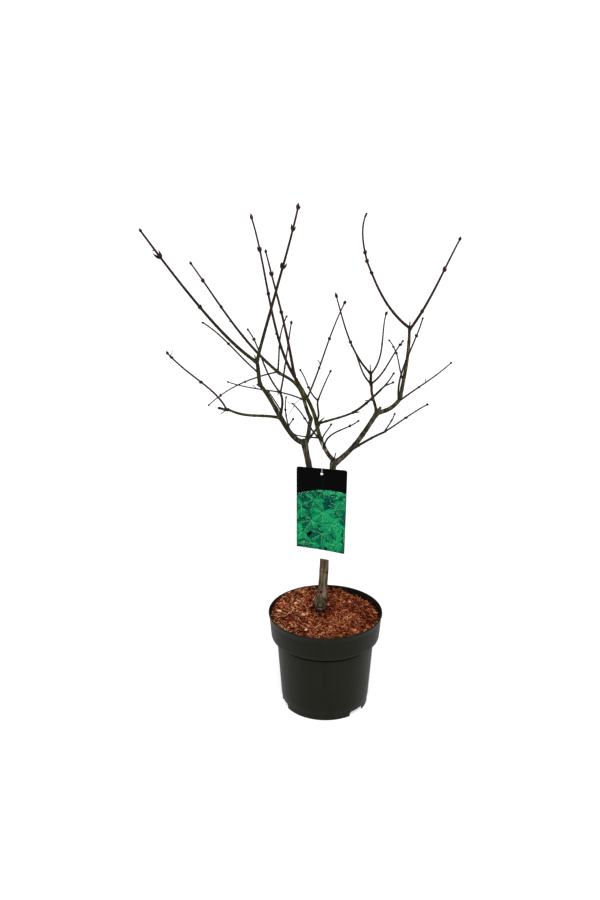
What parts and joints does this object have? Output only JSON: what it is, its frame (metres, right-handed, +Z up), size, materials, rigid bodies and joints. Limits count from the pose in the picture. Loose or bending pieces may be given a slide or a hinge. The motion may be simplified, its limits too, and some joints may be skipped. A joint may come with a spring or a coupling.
{
  "type": "potted full moon maple",
  "caption": "Young bare full moon maple in a dark round nursery pot topped with bark mulch, with a hanging picture card; it stands on the pot's flat underside.",
  "frame": {"origin": "centre of the pot's flat underside, on the surface that it stands on", "axes": "+Z up along the pot's axis, -Y to the front, the side that the picture card faces, +X to the right as seen from the front"},
  "size_m": [0.7449, 0.5247, 1.3076],
  "materials": {
    "pot_plastic": "dark grey-green moulded plastic, slightly scuffed",
    "potting_mix": "moist dark brown potting mix",
    "bark_mulch": "loose red-brown shredded bark",
    "trunk_bark": "grey-brown young bark with pale specks",
    "bough_bark": "smooth olive-brown bark",
    "twigs": "smooth reddish young bark with dark buds",
    "card": "printed card with a plain white foot and a black head",
    "thread": "thin white thread"
  },
  "bodies": {
    "root": {"pot": "pot_plastic", "potting_mix": "potting_mix", "bark_mulch": "bark_mulch", "trunk": "trunk_bark", "left_stem": "bough_bark", "right_stem": "bough_bark", "left_bough": "bough_bark", "low_left_bough": "bough_bark", "inner_bough_lower": "bough_bark", "inner_bough_upper": "bough_bark", "middle_bough_lower": "bough_bark", "middle_bough_upper": "bough_bark", "middle_right_bough": "bough_bark", "right_bough": "bough_bark", "right_outer_bough_lower": "bough_bark", "right_outer_bough_upper": "bough_bark", "right_inner_bough": "bough_bark", "left_top_twigs": "twigs", "low_left_twigs": "twigs", "left_inner_twigs": "twigs", "left_low_twigs": "twigs", "back_long_twig": "twigs", "inner_top_twigs": "twigs", "middle_top_twigs": "twigs", "middle_right_twigs": "twigs", "knot_left_twigs": "twigs", "knot_right_twigs": "twigs", "middle_front_twigs": "twigs", "front_right_twigs": "twigs", "low_right_twigs": "twigs", "right_inner_twigs": "twigs", "right_low_twig": "twigs", "right_rising_twig": "twigs", "right_short_twig": "twigs", "right_top_twigs": "twigs", "label_card": "card", "label_thread": "thread"}
  },
  "joints": []
}
